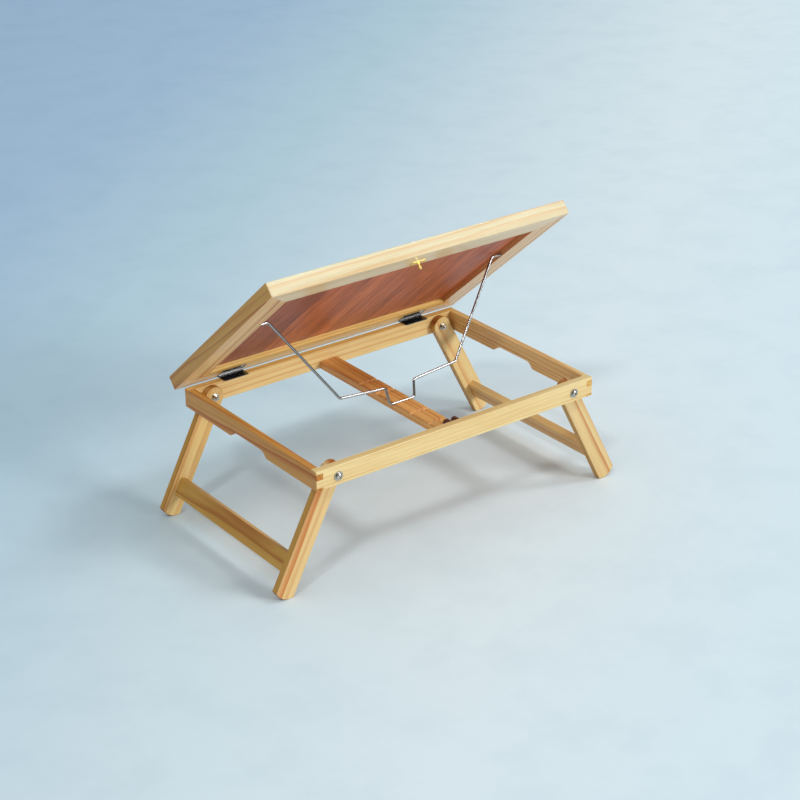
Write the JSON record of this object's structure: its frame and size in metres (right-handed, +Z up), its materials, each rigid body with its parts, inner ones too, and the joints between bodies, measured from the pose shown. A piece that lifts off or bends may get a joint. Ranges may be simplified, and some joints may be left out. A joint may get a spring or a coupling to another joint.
{
  "type": "folding bed tray table",
  "caption": "Folding wooden bed tray with a framed tilting lid, wire prop, notched support bar and folding splayed legs.",
  "frame": {"origin": "on the floor, under the middle of the whole table as it stands open", "axes": "+X along the tray, +Y from the free edge of the lid towards its hinges, +Z up"},
  "size_m": [0.6246, 0.368, 0.439],
  "materials": {
    "pine": "clear satin lacquer",
    "plywood": "clear satin lacquer",
    "beech": "raw",
    "zinc_steel": "bright zinc plate",
    "nickel_wire": "bright nickel plate",
    "black_steel": "gloss black",
    "brass": "bright",
    "brown_plastic": "moulded"
  },
  "bodies": {
    "base": {"front_rail": "pine", "back_rail": "pine", "left_side_rail": "pine", "right_side_rail": "pine", "ratchet_bar": "pine", "ratchet_bar_dowels": "beech", "pivot_bolts": "zinc_steel", "pivot_head_washers": "zinc_steel", "pivot_nut_washers": "zinc_steel", "pivot_nuts": "zinc_steel", "left_hinge_base_leaf": "black_steel", "right_hinge_base_leaf": "black_steel", "hinge_pins": "zinc_steel", "hinge_base_screws": "black_steel", "catch_body": "brown_plastic", "catch_screws": "zinc_steel"},
    "lid": {"lid_hinge_rail": "pine", "lid_free_rail": "pine", "lid_left_rail": "pine", "lid_right_rail": "pine", "lid_panel": "plywood", "left_hinge_lid_leaf": "black_steel", "right_hinge_lid_leaf": "black_steel", "hinge_lid_screws": "black_steel", "strike_plate": "brass", "strike_screws": "brass"},
    "prop": {"prop_wire": "nickel_wire"},
    "left_legs": {"left_front_leg": "pine", "left_back_leg": "pine", "left_stretcher": "pine", "left_stretcher_dowels": "beech"},
    "right_legs": {"right_front_leg": "pine", "right_back_leg": "pine", "right_stretcher": "pine", "right_stretcher_dowels": "beech"},
    "left_jaw": {"left_catch_jaw": "brown_plastic"},
    "right_jaw": {"right_catch_jaw": "brown_plastic"}
  },
  "joints": [
    {"name": "lid_hinge", "type": "hinge", "parent": "base", "child": "lid", "pos_m": [0, 0.16388, 0.19035], "axis": [-1, 0, 0], "range_deg": [0, 63.5]},
    {"name": "prop_swing", "type": "hinge", "parent": "lid", "child": "prop", "pos_m": [0, 0.00058, 0.33556], "axis": [-1, 0, 0], "range_deg": [-63.5, 0]},
    {"name": "left_legs_fold", "type": "hinge", "parent": "base", "child": "left_legs", "pos_m": [-0.2135, -0.00962, 0.17275], "axis": [0, -1, 0], "range_deg": [0, 117.28]},
    {"name": "right_legs_fold", "type": "hinge", "parent": "base", "child": "right_legs", "pos_m": [0.2135, -0.00962, 0.17275], "axis": [0, 1, 0], "range_deg": [0, 117.28]},
    {"name": "left_jaw_slide", "type": "slide", "parent": "base", "child": "left_jaw", "axis": [-1, 0, 0], "range_m": [0, 0.0015], "stiffness_N_per_m": 800, "springref_m": -0.001},
    {"name": "right_jaw_slide", "type": "slide", "parent": "base", "child": "right_jaw", "axis": [1, 0, 0], "range_m": [0, 0.0015], "stiffness_N_per_m": 800, "springref_m": -0.001}
  ],
  "couplings": [
    {"joint": "prop_swing", "follows": "lid_hinge", "ratio": -1}
  ]
}
